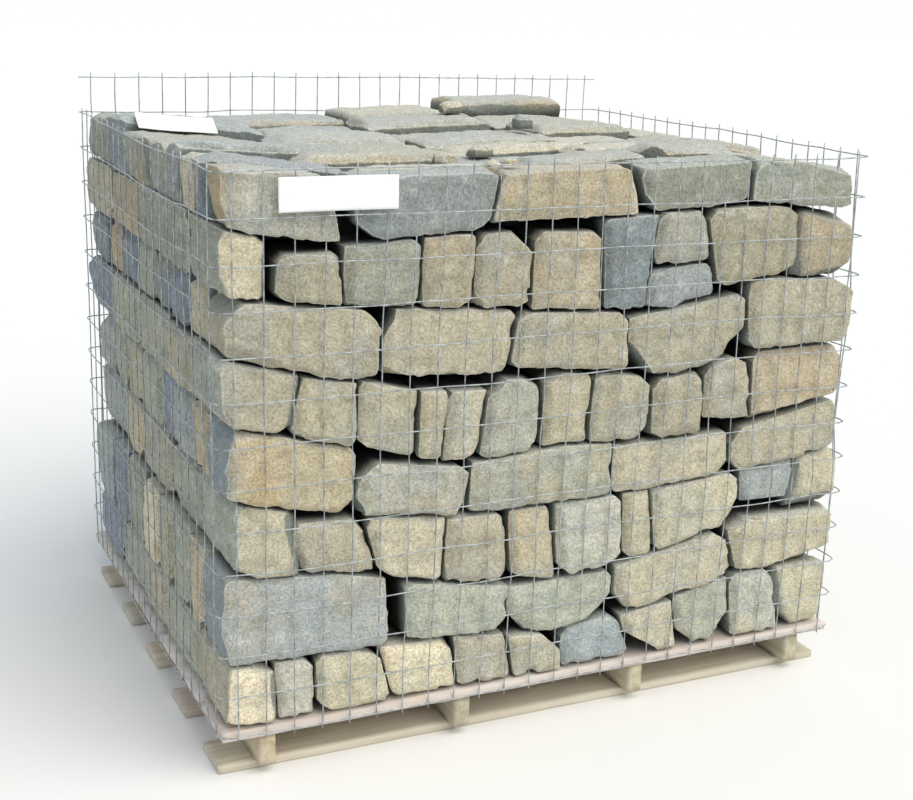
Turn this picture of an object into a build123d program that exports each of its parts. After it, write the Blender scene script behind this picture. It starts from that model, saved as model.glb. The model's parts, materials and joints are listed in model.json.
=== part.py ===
from build123d import *
from dataclasses import dataclass
import math
import os

# A pallet of split sandstone walling blocks, dry-stacked in eight courses and held by welded mesh.
# Millimetres. X runs along the front, the front faces -Y, Z is up from the floor, and the origin
# is on the floor under the middle of the pallet.

# The load and the deck under it
load_length = 1300.0
load_depth = 1050.0

# Pallet timber
bottom_board_thickness = 17.0
bottom_board_width = 100.0
bottom_board_count = 5
bottom_board_setback = 32.0
stringer_count = 4
stringer_thickness = 34.0
stringer_height = 60.0
stringer_inset = 66.0
stringer_setback = 4.0
deck_board_thickness = 17.0
deck_board_width = 140.0
deck_board_count = 7


@dataclass
class Stone:
    """A stone of a row: its width at the foot, how far the joint on its right leans to the right,
    how far its top and its foot stand off the beds at the left and the right, how much it is
    narrower at each side, and the sizes of its cut corners from the bottom left round to the top
    left. A rise lifts its top over the bed, and a split stone is two stones, one on the other."""

    width: float
    lean: float = 0.0
    tops: tuple = (0.0, 0.0)
    feet: tuple = (0.0, 0.0)
    trim: tuple = (0.0, 0.0)
    cuts: tuple = (0.0, 0.0, 0.0, 0.0)
    rise: float = 0.0
    split: float = 0.0


# Heights of the beds above the deck, at even places from the left end to the right end. The
# courses sag towards the middle of the pallet.
beds = [
    (0.0, 0.0, 0.0, 0.0, 0.0, 0.0, 0.0),
    (114.0, 112.0, 108.0, 80.0, 100.0, 140.0, 136.0),
    (280.0, 262.0, 212.0, 187.0, 210.0, 257.0, 256.0),
    (418.0, 368.0, 341.0, 340.0, 343.0, 361.0, 381.0),
    (550.0, 498.0, 440.0, 452.0, 440.0, 452.0, 500.0),
    (665.0, 612.0, 600.0, 595.0, 562.0, 600.0, 596.0),
    (765.0, 737.0, 722.0, 703.0, 694.0, 742.0, 726.0),
    (878.0, 840.0, 853.0, 864.0, 875.0, 880.0, 850.0),
    (982.0, 955.0, 963.0, 955.0, 972.0, 972.0, 942.0),
]

# The stones along the front, course by course from the deck up. The courses lie crosswise in turn:
# one shows the ends of its stones on the front, the next shows their long sides.
front_stones = [
    [
        Stone(107, -10, cuts=(0, 8, 12, 16)),
        Stone(70, -3),
        Stone(148, -30, cuts=(0, 0, 22, 8)),
        Stone(130, -13, cuts=(8, 0, 10, 0)),
        Stone(115, -17, cuts=(0, 10, 0, 0)),
        Stone(106, -11, cuts=(0, 0, 34, 8)),
        Stone(154, -33, cuts=(0, 0, 14, 20)),
        Stone(107, -18, cuts=(30, 0, 0, 0)),
        Stone(128, -14, cuts=(34, 48, 0, 10)),
        Stone(121, -25, cuts=(0, 0, 20, 14)),
        Stone(114, cuts=(28, 0, 0, 0)),
    ],
    [
        Stone(329, -9, trim=(0, 8), cuts=(22, 0, 0, 0)),
        Stone(223, 0, trim=(18, 0), cuts=(0, 24, 0, 8)),
        Stone(230, 0, cuts=(50, 50, 12, 0)),
        Stone(285, -34, cuts=(44, 0, 26, 0)),
        Stone(233),
    ],
    [
        Stone(148, -26, cuts=(20, 0, 0, 0)),
        Stone(145, -30, tops=(20, 0), cuts=(0, 0, 0, 12)),
        Stone(125, 4, cuts=(14, 12, 0, 16)),
        Stone(134, -14, cuts=(0, 18, 12, 0)),
        Stone(102, -14, trim=(6, 0)),
        Stone(142, -7, cuts=(26, 10, 14, 0)),
        Stone(71, -16, cuts=(14, 0, 0, 0)),
        Stone(201, -13, cuts=(10, 46, 0, 0)),
        Stone(110, 14, cuts=(22, 24, 0, 0)),
        Stone(122),
    ],
    [
        Stone(243, 10, cuts=(0, 20, 14, 14)),
        Stone(220, 5, tops=(16, 0), cuts=(12, 14, 8, 34)),
        Stone(300),
        Stone(267, -8, cuts=(0, 26, 0, 0)),
        Stone(270, cuts=(16, 0, 0, 30)),
    ],
    [
        Stone(123, 25, cuts=(22, 10, 0, 0)),
        Stone(126, 1),
        Stone(111, 3, tops=(0, 22), cuts=(0, 10, 0, 0)),
        Stone(50, 8, tops=(20, 22), cuts=(0, 8, 0, 0)),
        Stone(70, 18, tops=(22, 24), cuts=(0, 12, 0, 0)),
        Stone(122, -3, tops=(8, 8), cuts=(10, 8, 14, 8)),
        Stone(102, 10, tops=(4, 4), trim=(8, 0), cuts=(0, 0, 10, 14)),
        Stone(135, -1, cuts=(0, 30, 18, 14)),
        Stone(118, -2, cuts=(10, 8, 16, 20)),
        Stone(113, -9, feet=(26, 10), cuts=(0, 0, 24, 20)),
        Stone(230, cuts=(0, 16, 20, 20)),
    ],
    [
        Stone(292, 4, cuts=(18, 10, 12, 38)),
        Stone(244, 14, cuts=(0, 10, 12, 14)),
        Stone(250, -9, cuts=(8, 10, 16, 16)),
        Stone(262, -10, cuts=(40, 70, 14, 0)),
        Stone(252, cuts=(10, 20, 0, 8)),
    ],
    [
        Stone(91, 4, trim=(0, 8), cuts=(10, 0, 8, 0)),
        Stone(131, -3, tops=(26, 8), trim=(8, 0), cuts=(0, 0, 10, 14)),
        Stone(138, 3),
        Stone(101, 3, cuts=(0, 10, 8, 0)),
        Stone(114, 1, tops=(6, 4), cuts=(0, 0, 22, 8)),
        Stone(147, -10, tops=(10, 20), cuts=(0, 0, 10, 14)),
        Stone(88, 21),
        Stone(157, -34, split=0.4, cuts=(8, 10, 12, 8)),
        Stone(182, -11, cuts=(0, 10, 14, 20)),
        Stone(151, cuts=(0, 14, 28, 0)),
    ],
    [
        Stone(243, -23, trim=(0, 20), cuts=(10, 0, 0, 0)),
        Stone(246, 20, trim=(6, 0), cuts=(30, 16, 0, 0)),
        Stone(318, -30, feet=(10, 0), trim=(0, 16), cuts=(0, 8, 0, 0)),
        Stone(221, 2, feet=(0, 2), cuts=(14, 0, 0, 0)),
        Stone(272),
    ],
]

# How far the stones stand in from the left and the right end, course by course
end_setbacks = [(6, 3), (4, 3), (24, 3), (16, 20), (2, 14), (10, 8), (4, 18), (10, 26)]

# Widths of the rows from the front to the back, in the courses that lie along the front
row_widths = (150, 105, 125, 110, 135, 140, 120, 165)

# Lengths of the stones between the corners on the two ends, in the courses that lie across
end_lengths = [(215, 160, 225), (225, 215, 160), (160, 225, 215), (340, 260)]

# Rows of the open top course behind the front row: the row's width, then the length of each stone
# and how far its top stands over the bed
front_row_width = 108
top_rows = [
    (110, [(290, 4), (330, -6), (230, 8), (220, 12), (230, -4)]),
    (84, [(210, -4), (300, 10), (260, -10), (300, 6), (230, -6)]),
    (84, [(330, 8), (220, -8), (320, 4), (200, -4), (230, 8)]),
    (136, [(240, -6), (300, 6), (280, 14), (230, -8), (250, 0)]),
    (182, [(300, -10), (250, 4), (300, -8), (230, 10), (220, 0)]),
    (158, [(300, 12), (230, -2), (310, 16), (220, 6), (240, -8)]),
    (188, [(230, -4), (330, 10), (250, 20), (270, 40), (220, -6)]),
]

# Chips lying loose on the top: place along the front from the left end, depth from the front,
# length, width and height
loose_chips = [
    (434, 92, 42, 34, 26),
    (587, 268, 50, 32, 26),
    (780, 470, 36, 34, 30),
    (770, 800, 48, 36, 28),
    (536, 46, 34, 26, 18),
    (548, 132, 28, 22, 14),
]

# How far a stone reaches into the stack where its end shows
header_length = 225.0

# Gaps, dressing and unevenness of the stones
joint_gap = 6.0
seat_gap = 0.3
pitched_edge = 11.0
pitch_shares = (1.0, 0.7, 0.4)
least_run = 25.0
joint_leans = (7.0, -9.0, 5.0, 11.0, -6.0, -12.0, 8.0)
face_setbacks = (0.0, 4.0, 1.0, 6.0, 3.0, 1.0, 5.0)
top_shortfalls = (0.0, 4.0, 0.0, 9.0, 0.0, 6.0, 0.0)
split_tilt = 8.0
chip_edge = 7.0

# Welded mesh: square pitch of the wires, their thickness and the height of the sheets
wire_thickness = 2.5
upright_pitch = 52.0
level_pitch = 75.0
level_count = 14
back_level_count = 15
wire_stub = 10.0
mesh_clearance = 0.3

# Tally cards: one tied on the front, one leaning on the edge of a top stone
card_length = 205.0
card_height = 56.0
card_thickness = 1.0
front_card_from_left = 100.0
front_card_drop = 8.0
top_card_length = 160.0
top_card_width = 56.0
top_card_from_left = 40.0
top_card_row = 5
top_card_overhang = 6.0

# Where each side of a stone is found among its faces
side_of = {
    "left": (Axis.X, 0),
    "right": (Axis.X, -1),
    "front": (Axis.Y, 0),
    "back": (Axis.Y, -1),
    "top": (Axis.Z, -1),
}

deck_underside = bottom_board_thickness + stringer_height
deck_top = deck_underside + deck_board_thickness
half_length = load_length / 2
half_depth = load_depth / 2
bed_places = [-half_length + k * load_length / (len(beds[0]) - 1) for k in range(len(beds[0]))]


def spread(widths, total):
    """Edges of pieces laid side by side, from minus to plus half the total."""
    scale = total / sum(widths)
    edges = [-total / 2]
    for width in widths:
        edges.append(edges[-1] + width * scale)
    return edges


def cycle(values, index):
    """The value whose turn it is."""
    return values[index % len(values)]


def height_on(line, x):
    """Height at a place along a line of points."""
    for (start, low), (finish, high) in zip(line, line[1:]):
        if x <= finish:
            return low + (high - low) * (x - start) / (finish - start)
    return line[-1][1]


def bed_height(level, x):
    """Height of a bed above the floor at a place along the front."""
    return deck_top + height_on(list(zip(bed_places, beds[level])), x)


def run_along_bed(level, left, right, side):
    """The edge of a stone along a bed, as a line of points. It follows the bed where the bed bends
    away from the stone, runs straight where the bed bends into it, and stays clear of the bed. The
    side is 1 for the top of a stone and -1 for its foot."""
    bends = [x for x in bed_places if left < x < right]
    kept = [x for x in bends if left + least_run < x < right - least_run]
    line = []
    for x in (left, *kept, right):
        point = (x, bed_height(level, x))
        while len(line) > 1:
            (x0, z0), (x1, z1) = line[-2:]
            if side * ((x1 - x0) * (point[1] - z0) - (z1 - z0) * (x - x0)) < 0:
                break
            line.pop()
        line.append(point)
    over = max([0.0] + [side * (height_on(line, x) - bed_height(level, x)) for x in bends])
    return [(x, z - side * over) for x, z in line]


def shift_ends(line, left, right):
    """The line with its ends moved up or down and what lies between moved in step."""
    first, last = line[0][0], line[-1][0]
    return [(x, z + left + (right - left) * (x - first) / (last - first)) for x, z in line]


def stone_outline(foot, top, cuts):
    """Corners of a stone from the left end of its foot round to the left end of its top, with the
    four outer corners cut off by the given sizes."""
    corners = list(foot) + list(reversed(top))
    sizes = {0: cuts[0], len(foot) - 1: cuts[1], len(foot): cuts[2], len(corners) - 1: cuts[3]}
    outline = []
    for index, (x, z) in enumerate(corners):
        size = sizes.get(index, 0)
        if not size:
            outline.append((x, z))
            continue
        for neighbour in (corners[index - 1], corners[(index + 1) % len(corners)]):
            run = math.dist((x, z), neighbour)
            share = min(size / run, 0.45)
            outline.append((x + (neighbour[0] - x) * share, z + (neighbour[1] - z) * share))
    return outline


def pitch_off(edges):
    """Chamfers edges of the stone being made, by less where short edges leave no room."""
    for share in pitch_shares:
        try:
            chamfer(edges, pitched_edge * share)
            return
        except ValueError:
            continue


def cut_stone(outline, near, far, faces):
    """A stone of one outline from near to far along Y. The edges of the faces that show are
    pitched off."""
    with BuildPart() as stone:
        with BuildSketch(Plane.XZ.offset(-far)):
            with BuildLine():
                Polyline(*outline, close=True)
            make_face()
        extrude(amount=far - near)
        pitched = ShapeList()
        for face in faces:
            axis, end = side_of[face]
            for edge in stone.faces().sort_by(axis)[end].edges():
                if edge not in pitched:
                    pitched.append(edge)
        pitch_off(pitched)
    return stone.part


def lay_stone(stone, foot_ends, top_ends, near, far, course, faces):
    """One stone, or the two of a split one, between the beds under and over its course."""
    if "top" in faces:
        top = [(x, bed_height(course + 1, x) + stone.rise) for x in top_ends]
    else:
        top = run_along_bed(course + 1, *top_ends, 1)
    top = shift_ends(top, -stone.tops[0], -stone.tops[1])
    foot = run_along_bed(course, *foot_ends, -1)
    foot = shift_ends(foot, stone.feet[0] + seat_gap, stone.feet[1] + seat_gap)
    if not stone.split:
        return [cut_stone(stone_outline(foot, top, stone.cuts), near, far, faces)]
    ends = [
        (f[0] + (t[0] - f[0]) * stone.split, f[1] + (t[1] - f[1]) * stone.split)
        for f, t in zip((foot[0], foot[-1]), (top[0], top[-1]))
    ]
    upper_foot = shift_ends(ends, split_tilt + seat_gap, seat_gap)
    lower = stone_outline(foot, ends, stone.cuts)
    upper = stone_outline(upper_foot, top, stone.cuts)
    return [cut_stone(lower, near, far, faces), cut_stone(upper, near, far, faces)]


def plain_stones(lengths, turn, rises=None):
    """Stones of given lengths whose joints lean by turns."""
    rises = rises or [0.0] * len(lengths)
    return [
        Stone(length, cycle(joint_leans, turn + index), rise=rise)
        for index, (length, rise) in enumerate(zip(lengths, rises))
    ]


def row_spans(row, course):
    """Ends along X of the foot and of the top of each stone in a row from end to end of the load."""
    edges = spread([stone.width for stone in row], load_length)
    left_end, right_end = end_setbacks[course]
    spans = []
    for index, stone in enumerate(row):
        left = edges[index] + joint_gap / 2 + stone.trim[0]
        right = edges[index + 1] - joint_gap / 2 - stone.trim[1]
        foot = [left, right]
        top = [left + row[index - 1].lean, right + stone.lean]
        if index == 0:
            foot[0] = top[0] = -half_length + left_end
        if index == len(row) - 1:
            foot[1] = top[1] = half_length - right_end
        spans.append((foot, top))
    return spans


def lay_row(row, near, far, course, face, turn, top_shows=False):
    """A row of stones along X from end to end of the load, whose front or back may show."""
    solids = []
    last = len(row) - 1
    for index, (stone, (foot, top)) in enumerate(zip(row, row_spans(row, course))):
        faces = [face] if face else []
        if index == 0:
            faces.append("left")
        if index == last:
            faces.append("right")
        if top_shows:
            faces.append("top")
        setback = cycle(face_setbacks, turn + index)
        front = near + (setback if face == "front" else 0.0)
        back = far - (setback if face == "back" else 0.0)
        solids += lay_stone(stone, foot, top, front, back, course, faces)
    return solids


def lay_headers(near, far, course, turn):
    """The two end stones of an inner row, whose ends show on the left and on the right."""
    inner = half_length - header_length + joint_gap / 2
    left_end, right_end = end_setbacks[course]
    left_end += cycle(face_setbacks, turn)
    right_end += cycle(face_setbacks, turn + 3)
    solids = []
    for face, span in {
        "left": (-half_length + left_end, -inner),
        "right": (inner, half_length - right_end),
    }.items():
        solids += lay_stone(Stone(header_length), span, span, near, far, course, [face])
    return solids


def lay_ends(left, right, lengths, course, face, turn):
    """Stones between the corner stones of one end, in a course that lies across the pallet."""
    solids = []
    edges = spread(lengths, load_depth - 2 * header_length)
    for index in range(len(lengths)):
        setback = cycle(face_setbacks, turn + index)
        span = (left + (setback if face == "left" else 0.0), right - (setback if face == "right" else 0.0))
        near = edges[index] + joint_gap / 2
        far = edges[index + 1] - joint_gap / 2
        short = cycle(top_shortfalls, turn + index)
        stone = Stone(lengths[index], tops=(short, short))
        solids += lay_stone(stone, span, span, near, far, course, [face])
    return solids


def lay_course_across(course):
    """Ring of a course whose stones point to the front: their ends show there and at the back."""
    row = front_stones[course]
    back_row = [row[0], *reversed(row[1:-1]), row[-1]]
    edges = spread([stone.width for stone in row], load_length)
    reach = header_length - joint_gap / 2
    solids = lay_row(row, -half_depth, -half_depth + reach, course, "front", course)
    solids += lay_row(back_row, half_depth - reach, half_depth, course, "back", course + 3)
    lengths = cycle(end_lengths, course // 2)
    left_inner = edges[1] - joint_gap / 2
    right_inner = edges[-2] + joint_gap / 2
    left_end, right_end = end_setbacks[course]
    solids += lay_ends(-half_length + left_end, left_inner, lengths, course, "left", course + 1)
    solids += lay_ends(right_inner, half_length - right_end, lengths, course, "right", course + 5)
    return solids


def lay_course_along(course):
    """Ring of a course whose stones lie along the front: their ends show on the left and right."""
    rows = spread(row_widths, load_depth)
    row = front_stones[course]
    solids = lay_row(row, -half_depth, rows[1] - joint_gap / 2, course, "front", course)
    solids += lay_row(row[::-1], rows[-2] + joint_gap / 2, half_depth, course, "back", course + 3)
    for index in range(1, len(row_widths) - 1):
        near = rows[index] + joint_gap / 2
        far = rows[index + 1] - joint_gap / 2
        solids += lay_headers(near, far, course, course + index)
    return solids


def top_course_rows():
    """Edges of the rows of the top course along Y, and the stones of each row."""
    edges = spread([front_row_width] + [width for width, stones in top_rows], load_depth)
    rows = [front_stones[-1]]
    for index, (width, stones) in enumerate(top_rows, start=1):
        lengths = [length for length, rise in stones]
        rises = [rise for length, rise in stones]
        rows.append(plain_stones(lengths, index, rises))
    return edges, rows


def lay_top_course(course):
    """The open top course, whole rows from the front to the back."""
    edges, rows = top_course_rows()
    solids = []
    for index, row in enumerate(rows):
        near = edges[index] + (joint_gap / 2 if index else 0.0)
        far = edges[index + 1] - (joint_gap / 2 if index < len(rows) - 1 else 0.0)
        face = "front" if index == 0 else "back" if index == len(rows) - 1 else None
        solids += lay_row(row, near, far, course, face, course + 2 * index, top_shows=True)
    return solids


def core_slab(course, crosswise):
    """Plain fill of one course behind the stones that show, from bed to bed."""
    if crosswise:
        edges = spread([stone.width for stone in front_stones[course]], load_length)
        left = edges[1] - joint_gap / 2 + seat_gap
        right = edges[-2] + joint_gap / 2 - seat_gap
        near = -half_depth + header_length - joint_gap / 2 + seat_gap
        far = -near
    else:
        rows = spread(row_widths, load_depth)
        left = -half_length + header_length - joint_gap / 2 + seat_gap
        right = -left
        near = rows[1] - joint_gap / 2 + seat_gap
        far = rows[-2] + joint_gap / 2 - seat_gap
    places = [left, *(x for x in bed_places if left < x < right), right]
    corners = [(x, bed_height(course, x) + seat_gap) for x in places]
    corners += [(x, bed_height(course + 1, x)) for x in reversed(places)]
    with BuildPart() as slab:
        with BuildSketch(Plane.XZ.offset(-far)):
            with BuildLine():
                Polyline(*corners, close=True)
            make_face()
        extrude(amount=far - near)
    return slab.part


def top_line(course, row, number):
    """The straight top of a stone of the top course, as its two ends."""
    foot, top = row_spans(row, course)[number]
    return [(x, bed_height(course + 1, x) + row[number].rise) for x in top]


def top_surface(course, x, y):
    """Height of the top of the stack at a place on a stone of the top course."""
    edges, rows = top_course_rows()
    row = rows[max(k for k in range(len(rows)) if edges[k] <= y)]
    starts = [top[0] for foot, top in row_spans(row, course)]
    number = max(k for k in range(len(row)) if starts[k] <= x)
    return height_on(top_line(course, row, number), x)


def mesh_panel(across, levels, plane, upright_offsets):
    """Flat sheet of welded mesh on a plane whose x runs along the sheet and whose normal points out.
    The uprights lie against the stones and the level wires lie on the uprights."""
    height = (levels - 1) * level_pitch + 2 * wire_stub
    uprights = [(x, height / 2, wire_thickness / 2) for x in upright_offsets]
    level_wires = [(0, wire_stub + k * level_pitch, 1.5 * wire_thickness) for k in range(levels)]
    with BuildPart(plane) as panel:
        with Locations(*uprights):
            Box(wire_thickness, height, wire_thickness)
        with Locations(*level_wires):
            Box(across, wire_thickness, wire_thickness)
    return panel.part


def loose_chip(course, x, y, length, width, height):
    """A small stone lying on the top course, its upper edges worn off."""
    corners = [(x + i * length / 2, y + j * width / 2) for i in (-1, 1) for j in (-1, 1)]
    seat = max(top_surface(course, *corner) for corner in corners) + seat_gap
    with BuildPart() as chip:
        with Locations((x, y, seat + height / 2)):
            Box(length, width, height)
        chamfer(chip.edges().filter_by(Axis.Z), chip_edge)
        chamfer(chip.faces().sort_by(Axis.Z)[-1].edges(), chip_edge)
    return chip.part


os.makedirs("parts", exist_ok=True)

# Bottom boards lie along the front under the stringers
first_board_y = -half_depth + bottom_board_setback + bottom_board_width / 2
board_pitch = -2 * first_board_y / (bottom_board_count - 1)
with BuildPart() as bottom_boards:
    with Locations((0, 0, bottom_board_thickness / 2)):
        with GridLocations(1, board_pitch, 1, bottom_board_count):
            Box(load_length, bottom_board_width, bottom_board_thickness)
bottom_boards.part.label = "bottom_boards"
export_step(bottom_boards.part, "parts/bottom_boards.step")

# Stringers run from the front to the back
stringer_pitch = (load_length - 2 * stringer_inset - stringer_thickness) / (stringer_count - 1)
stringer_length = load_depth - 2 * stringer_setback
for number in range(stringer_count):
    x = -half_length + stringer_inset + stringer_thickness / 2 + number * stringer_pitch
    with BuildPart() as stringer:
        with Locations((x, 0, bottom_board_thickness + stringer_height / 2)):
            Box(stringer_thickness, stringer_length, stringer_height)
    stringer.part.label = f"stringer_{number + 1}"
    export_step(stringer.part, f"parts/stringer_{number + 1}.step")

# Deck boards lie along the front on the stringers
deck_pitch = (load_depth - deck_board_width) / (deck_board_count - 1)
with BuildPart() as deck_boards:
    with Locations((0, 0, deck_underside + deck_board_thickness / 2)):
        with GridLocations(1, deck_pitch, 1, deck_board_count):
            Box(load_length, deck_board_width, deck_board_thickness)
deck_boards.part.label = "deck_boards"
export_step(deck_boards.part, "parts/deck_boards.step")

# Courses of stones
top_course = len(front_stones) - 1
for course in range(len(front_stones)):
    if course == top_course:
        stones = lay_top_course(course)
    elif course % 2 == 0:
        stones = lay_course_across(course)
    else:
        stones = lay_course_along(course)
    with BuildPart() as stone_course:
        add(stones)
    stone_course.part.label = f"course_{course + 1}"
    export_step(stone_course.part, f"parts/course_{course + 1}.step")

# Core behind the stones that show
slabs = [core_slab(course, course % 2 == 0) for course in range(top_course)]
with BuildPart() as core:
    add(slabs)
core.part.label = "core"
export_step(core.part, "parts/core.step")

# Chips lying loose on the top
chips = [
    loose_chip(top_course, -half_length + from_left, -half_depth + depth, *size)
    for from_left, depth, *size in loose_chips
]
with BuildPart() as chip_group:
    add(chips)
chip_group.part.label = "loose_chips"
export_step(chip_group.part, "parts/loose_chips.step")

# Welded mesh round the four sides
long_cells = round(load_length / upright_pitch)
long_uprights = [-half_length + k * load_length / long_cells for k in range(long_cells + 1)]
short_cells = round(load_depth / upright_pitch)
short_uprights = [-half_depth + (k + 0.5) * load_depth / short_cells for k in range(short_cells)]
long_across = load_length + 2 * (mesh_clearance + 2 * wire_thickness)
short_across = load_depth + 2 * (mesh_clearance + wire_thickness)
sheet_y = half_depth + mesh_clearance
sheet_x = half_length + mesh_clearance
sheets = {
    "mesh_front": (long_across, level_count, long_uprights, (0, -sheet_y), (1, 0), (0, -1)),
    "mesh_back": (long_across, back_level_count, long_uprights, (0, sheet_y), (-1, 0), (0, 1)),
    "mesh_left": (short_across, level_count, short_uprights, (-sheet_x, 0), (0, -1), (-1, 0)),
    "mesh_right": (short_across, level_count, short_uprights, (sheet_x, 0), (0, 1), (1, 0)),
}
for name, (across, levels, uprights, place, along, outward) in sheets.items():
    plane = Plane(origin=(*place, deck_underside), x_dir=(*along, 0), z_dir=(*outward, 0))
    sheet = mesh_panel(across, levels, plane, uprights)
    sheet.label = name
    export_step(sheet, f"parts/{name}.step")

# Tally card tied on the uprights of the front mesh, under its top wire
mesh_top_wire = deck_underside + wire_stub + (level_count - 1) * level_pitch
uprights_outer_y = -half_depth - mesh_clearance - wire_thickness
with BuildPart() as front_card:
    with Locations((
        -half_length + front_card_from_left + card_length / 2,
        uprights_outer_y - seat_gap - card_thickness / 2,
        mesh_top_wire - front_card_drop - card_height / 2,
    )):
        Box(card_length, card_thickness, card_height)
front_card.part.label = "front_card"
export_step(front_card.part, "parts/front_card.step")

# Tally card leaning on the edge of a stone of the top course: its lower edge lies on the row in
# front, its back on the stone's upper edge, where the pitch ends
row_edges, rows = top_course_rows()
near_line = top_line(top_course, rows[top_card_row], 0)
far_line = top_line(top_course, rows[top_card_row + 1], 0)
card_left = -half_length + top_card_from_left
card_right = card_left + top_card_length
low_left = height_on(near_line, card_left)
step = max(height_on(far_line, x) - height_on(near_line, x) for x in (card_left, card_right))
lean_length = top_card_width - top_card_overhang
card_lean = math.asin(step / lean_length)
far_edge = row_edges[top_card_row + 1] + joint_gap / 2 + pitched_edge
near_edge = far_edge - lean_length * math.cos(card_lean)
slope = Vector(top_card_length, 0, height_on(near_line, card_right) - low_left)
upward = Vector(0, math.cos(card_lean), math.sin(card_lean))
seat = Plane(origin=(card_left, near_edge, low_left + seat_gap), x_dir=slope, z_dir=slope.cross(upward))
with BuildPart(seat) as top_card:
    with Locations((top_card_length / 2, top_card_width / 2, card_thickness / 2)):
        Box(top_card_length, top_card_width, card_thickness)
top_card.part.label = "top_card"
export_step(top_card.part, "parts/top_card.step")
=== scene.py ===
"""Dresses a pallet of split sandstone walling blocks: stones, welded mesh, timber and tally cards.

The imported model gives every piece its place. Each course of stones is worked out again from the flat
sides of its solids, with worn edges and split faces; the mesh becomes round welded wire that leans and
bends as a used sheet does; the boards get sawn faces and grain.
"""
from __future__ import annotations

import json
import logging
import math
from dataclasses import dataclass, field
from enum import Enum
from functools import lru_cache

import bpy
import numpy as np
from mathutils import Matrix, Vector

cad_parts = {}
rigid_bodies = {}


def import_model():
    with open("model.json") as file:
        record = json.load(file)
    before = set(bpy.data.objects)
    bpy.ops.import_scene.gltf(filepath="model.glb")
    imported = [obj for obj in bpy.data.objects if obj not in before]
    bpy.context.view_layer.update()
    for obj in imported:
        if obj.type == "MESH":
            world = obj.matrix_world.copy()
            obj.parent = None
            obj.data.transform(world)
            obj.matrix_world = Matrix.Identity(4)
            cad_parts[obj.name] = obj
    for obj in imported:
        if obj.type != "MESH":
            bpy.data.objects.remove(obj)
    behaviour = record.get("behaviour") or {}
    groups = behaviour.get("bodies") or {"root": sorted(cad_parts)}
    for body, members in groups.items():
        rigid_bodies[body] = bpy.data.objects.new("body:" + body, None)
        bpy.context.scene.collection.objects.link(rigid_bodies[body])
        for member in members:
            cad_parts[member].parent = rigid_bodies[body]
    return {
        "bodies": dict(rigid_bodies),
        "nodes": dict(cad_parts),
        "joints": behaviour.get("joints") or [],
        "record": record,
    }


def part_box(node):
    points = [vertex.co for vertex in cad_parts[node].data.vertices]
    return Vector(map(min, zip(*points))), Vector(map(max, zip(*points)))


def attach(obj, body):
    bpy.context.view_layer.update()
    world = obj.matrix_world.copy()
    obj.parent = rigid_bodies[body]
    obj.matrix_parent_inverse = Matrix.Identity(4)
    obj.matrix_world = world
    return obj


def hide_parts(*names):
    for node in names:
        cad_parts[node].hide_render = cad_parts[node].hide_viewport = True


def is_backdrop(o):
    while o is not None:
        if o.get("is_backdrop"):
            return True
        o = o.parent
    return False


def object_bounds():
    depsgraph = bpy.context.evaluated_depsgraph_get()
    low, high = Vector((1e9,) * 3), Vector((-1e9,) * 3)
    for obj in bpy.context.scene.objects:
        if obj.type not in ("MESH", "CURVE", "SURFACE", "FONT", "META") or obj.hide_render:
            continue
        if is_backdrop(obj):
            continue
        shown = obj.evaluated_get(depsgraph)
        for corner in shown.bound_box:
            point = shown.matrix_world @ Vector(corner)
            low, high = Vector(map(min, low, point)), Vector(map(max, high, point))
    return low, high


log = logging.getLogger("walling_stone_pallet")

Array = np.ndarray
Colour = tuple[float, float, float, float]
Material = bpy.types.Material
Thing = bpy.types.Object

PICTURE_WIDTH = 913
SENSOR_WIDTH = 36.0
QUARTERS = ((-1, -1), (1, -1), (1, 1), (-1, 1))
ATTRIBUTE_KINDS = {(4,): ("FLOAT_COLOR", "color"), (3,): ("FLOAT_VECTOR", "vector"), (): ("FLOAT", "value")}


def srgb(code: str) -> Colour:
    """Linear colour of a six-digit sRGB code.

    Args:
        code: Six hexadecimal digits.

    Returns:
        Red, green, blue and an alpha of 1, linear.
    """
    parts = [int(code[at:at + 2], 16) / 255 for at in (0, 2, 4)]
    linear = [c / 12.92 if c <= 0.04045 else ((c + 0.055) / 1.055) ** 2.4 for c in parts]
    return (*linear, 1.0)


class StoneTone(Enum):
    """Colours that this sandstone splits to, as sRGB codes."""

    CREAM = "d8ceb2"
    BUFF = "bcb59d"
    KHAKI = "b1ab95"
    GREY_GREEN = "a6a999"
    BLUE_GREY = "a3a9a6"
    SLATE = "929b9d"
    OCHRE = "beb296"
    RUST = "b8a27c"
    ASH = "b6b5a7"
    STEEL_BLUE = "8a949f"


C, B, K, G, L, S, O, R, A, N = StoneTone


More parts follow.
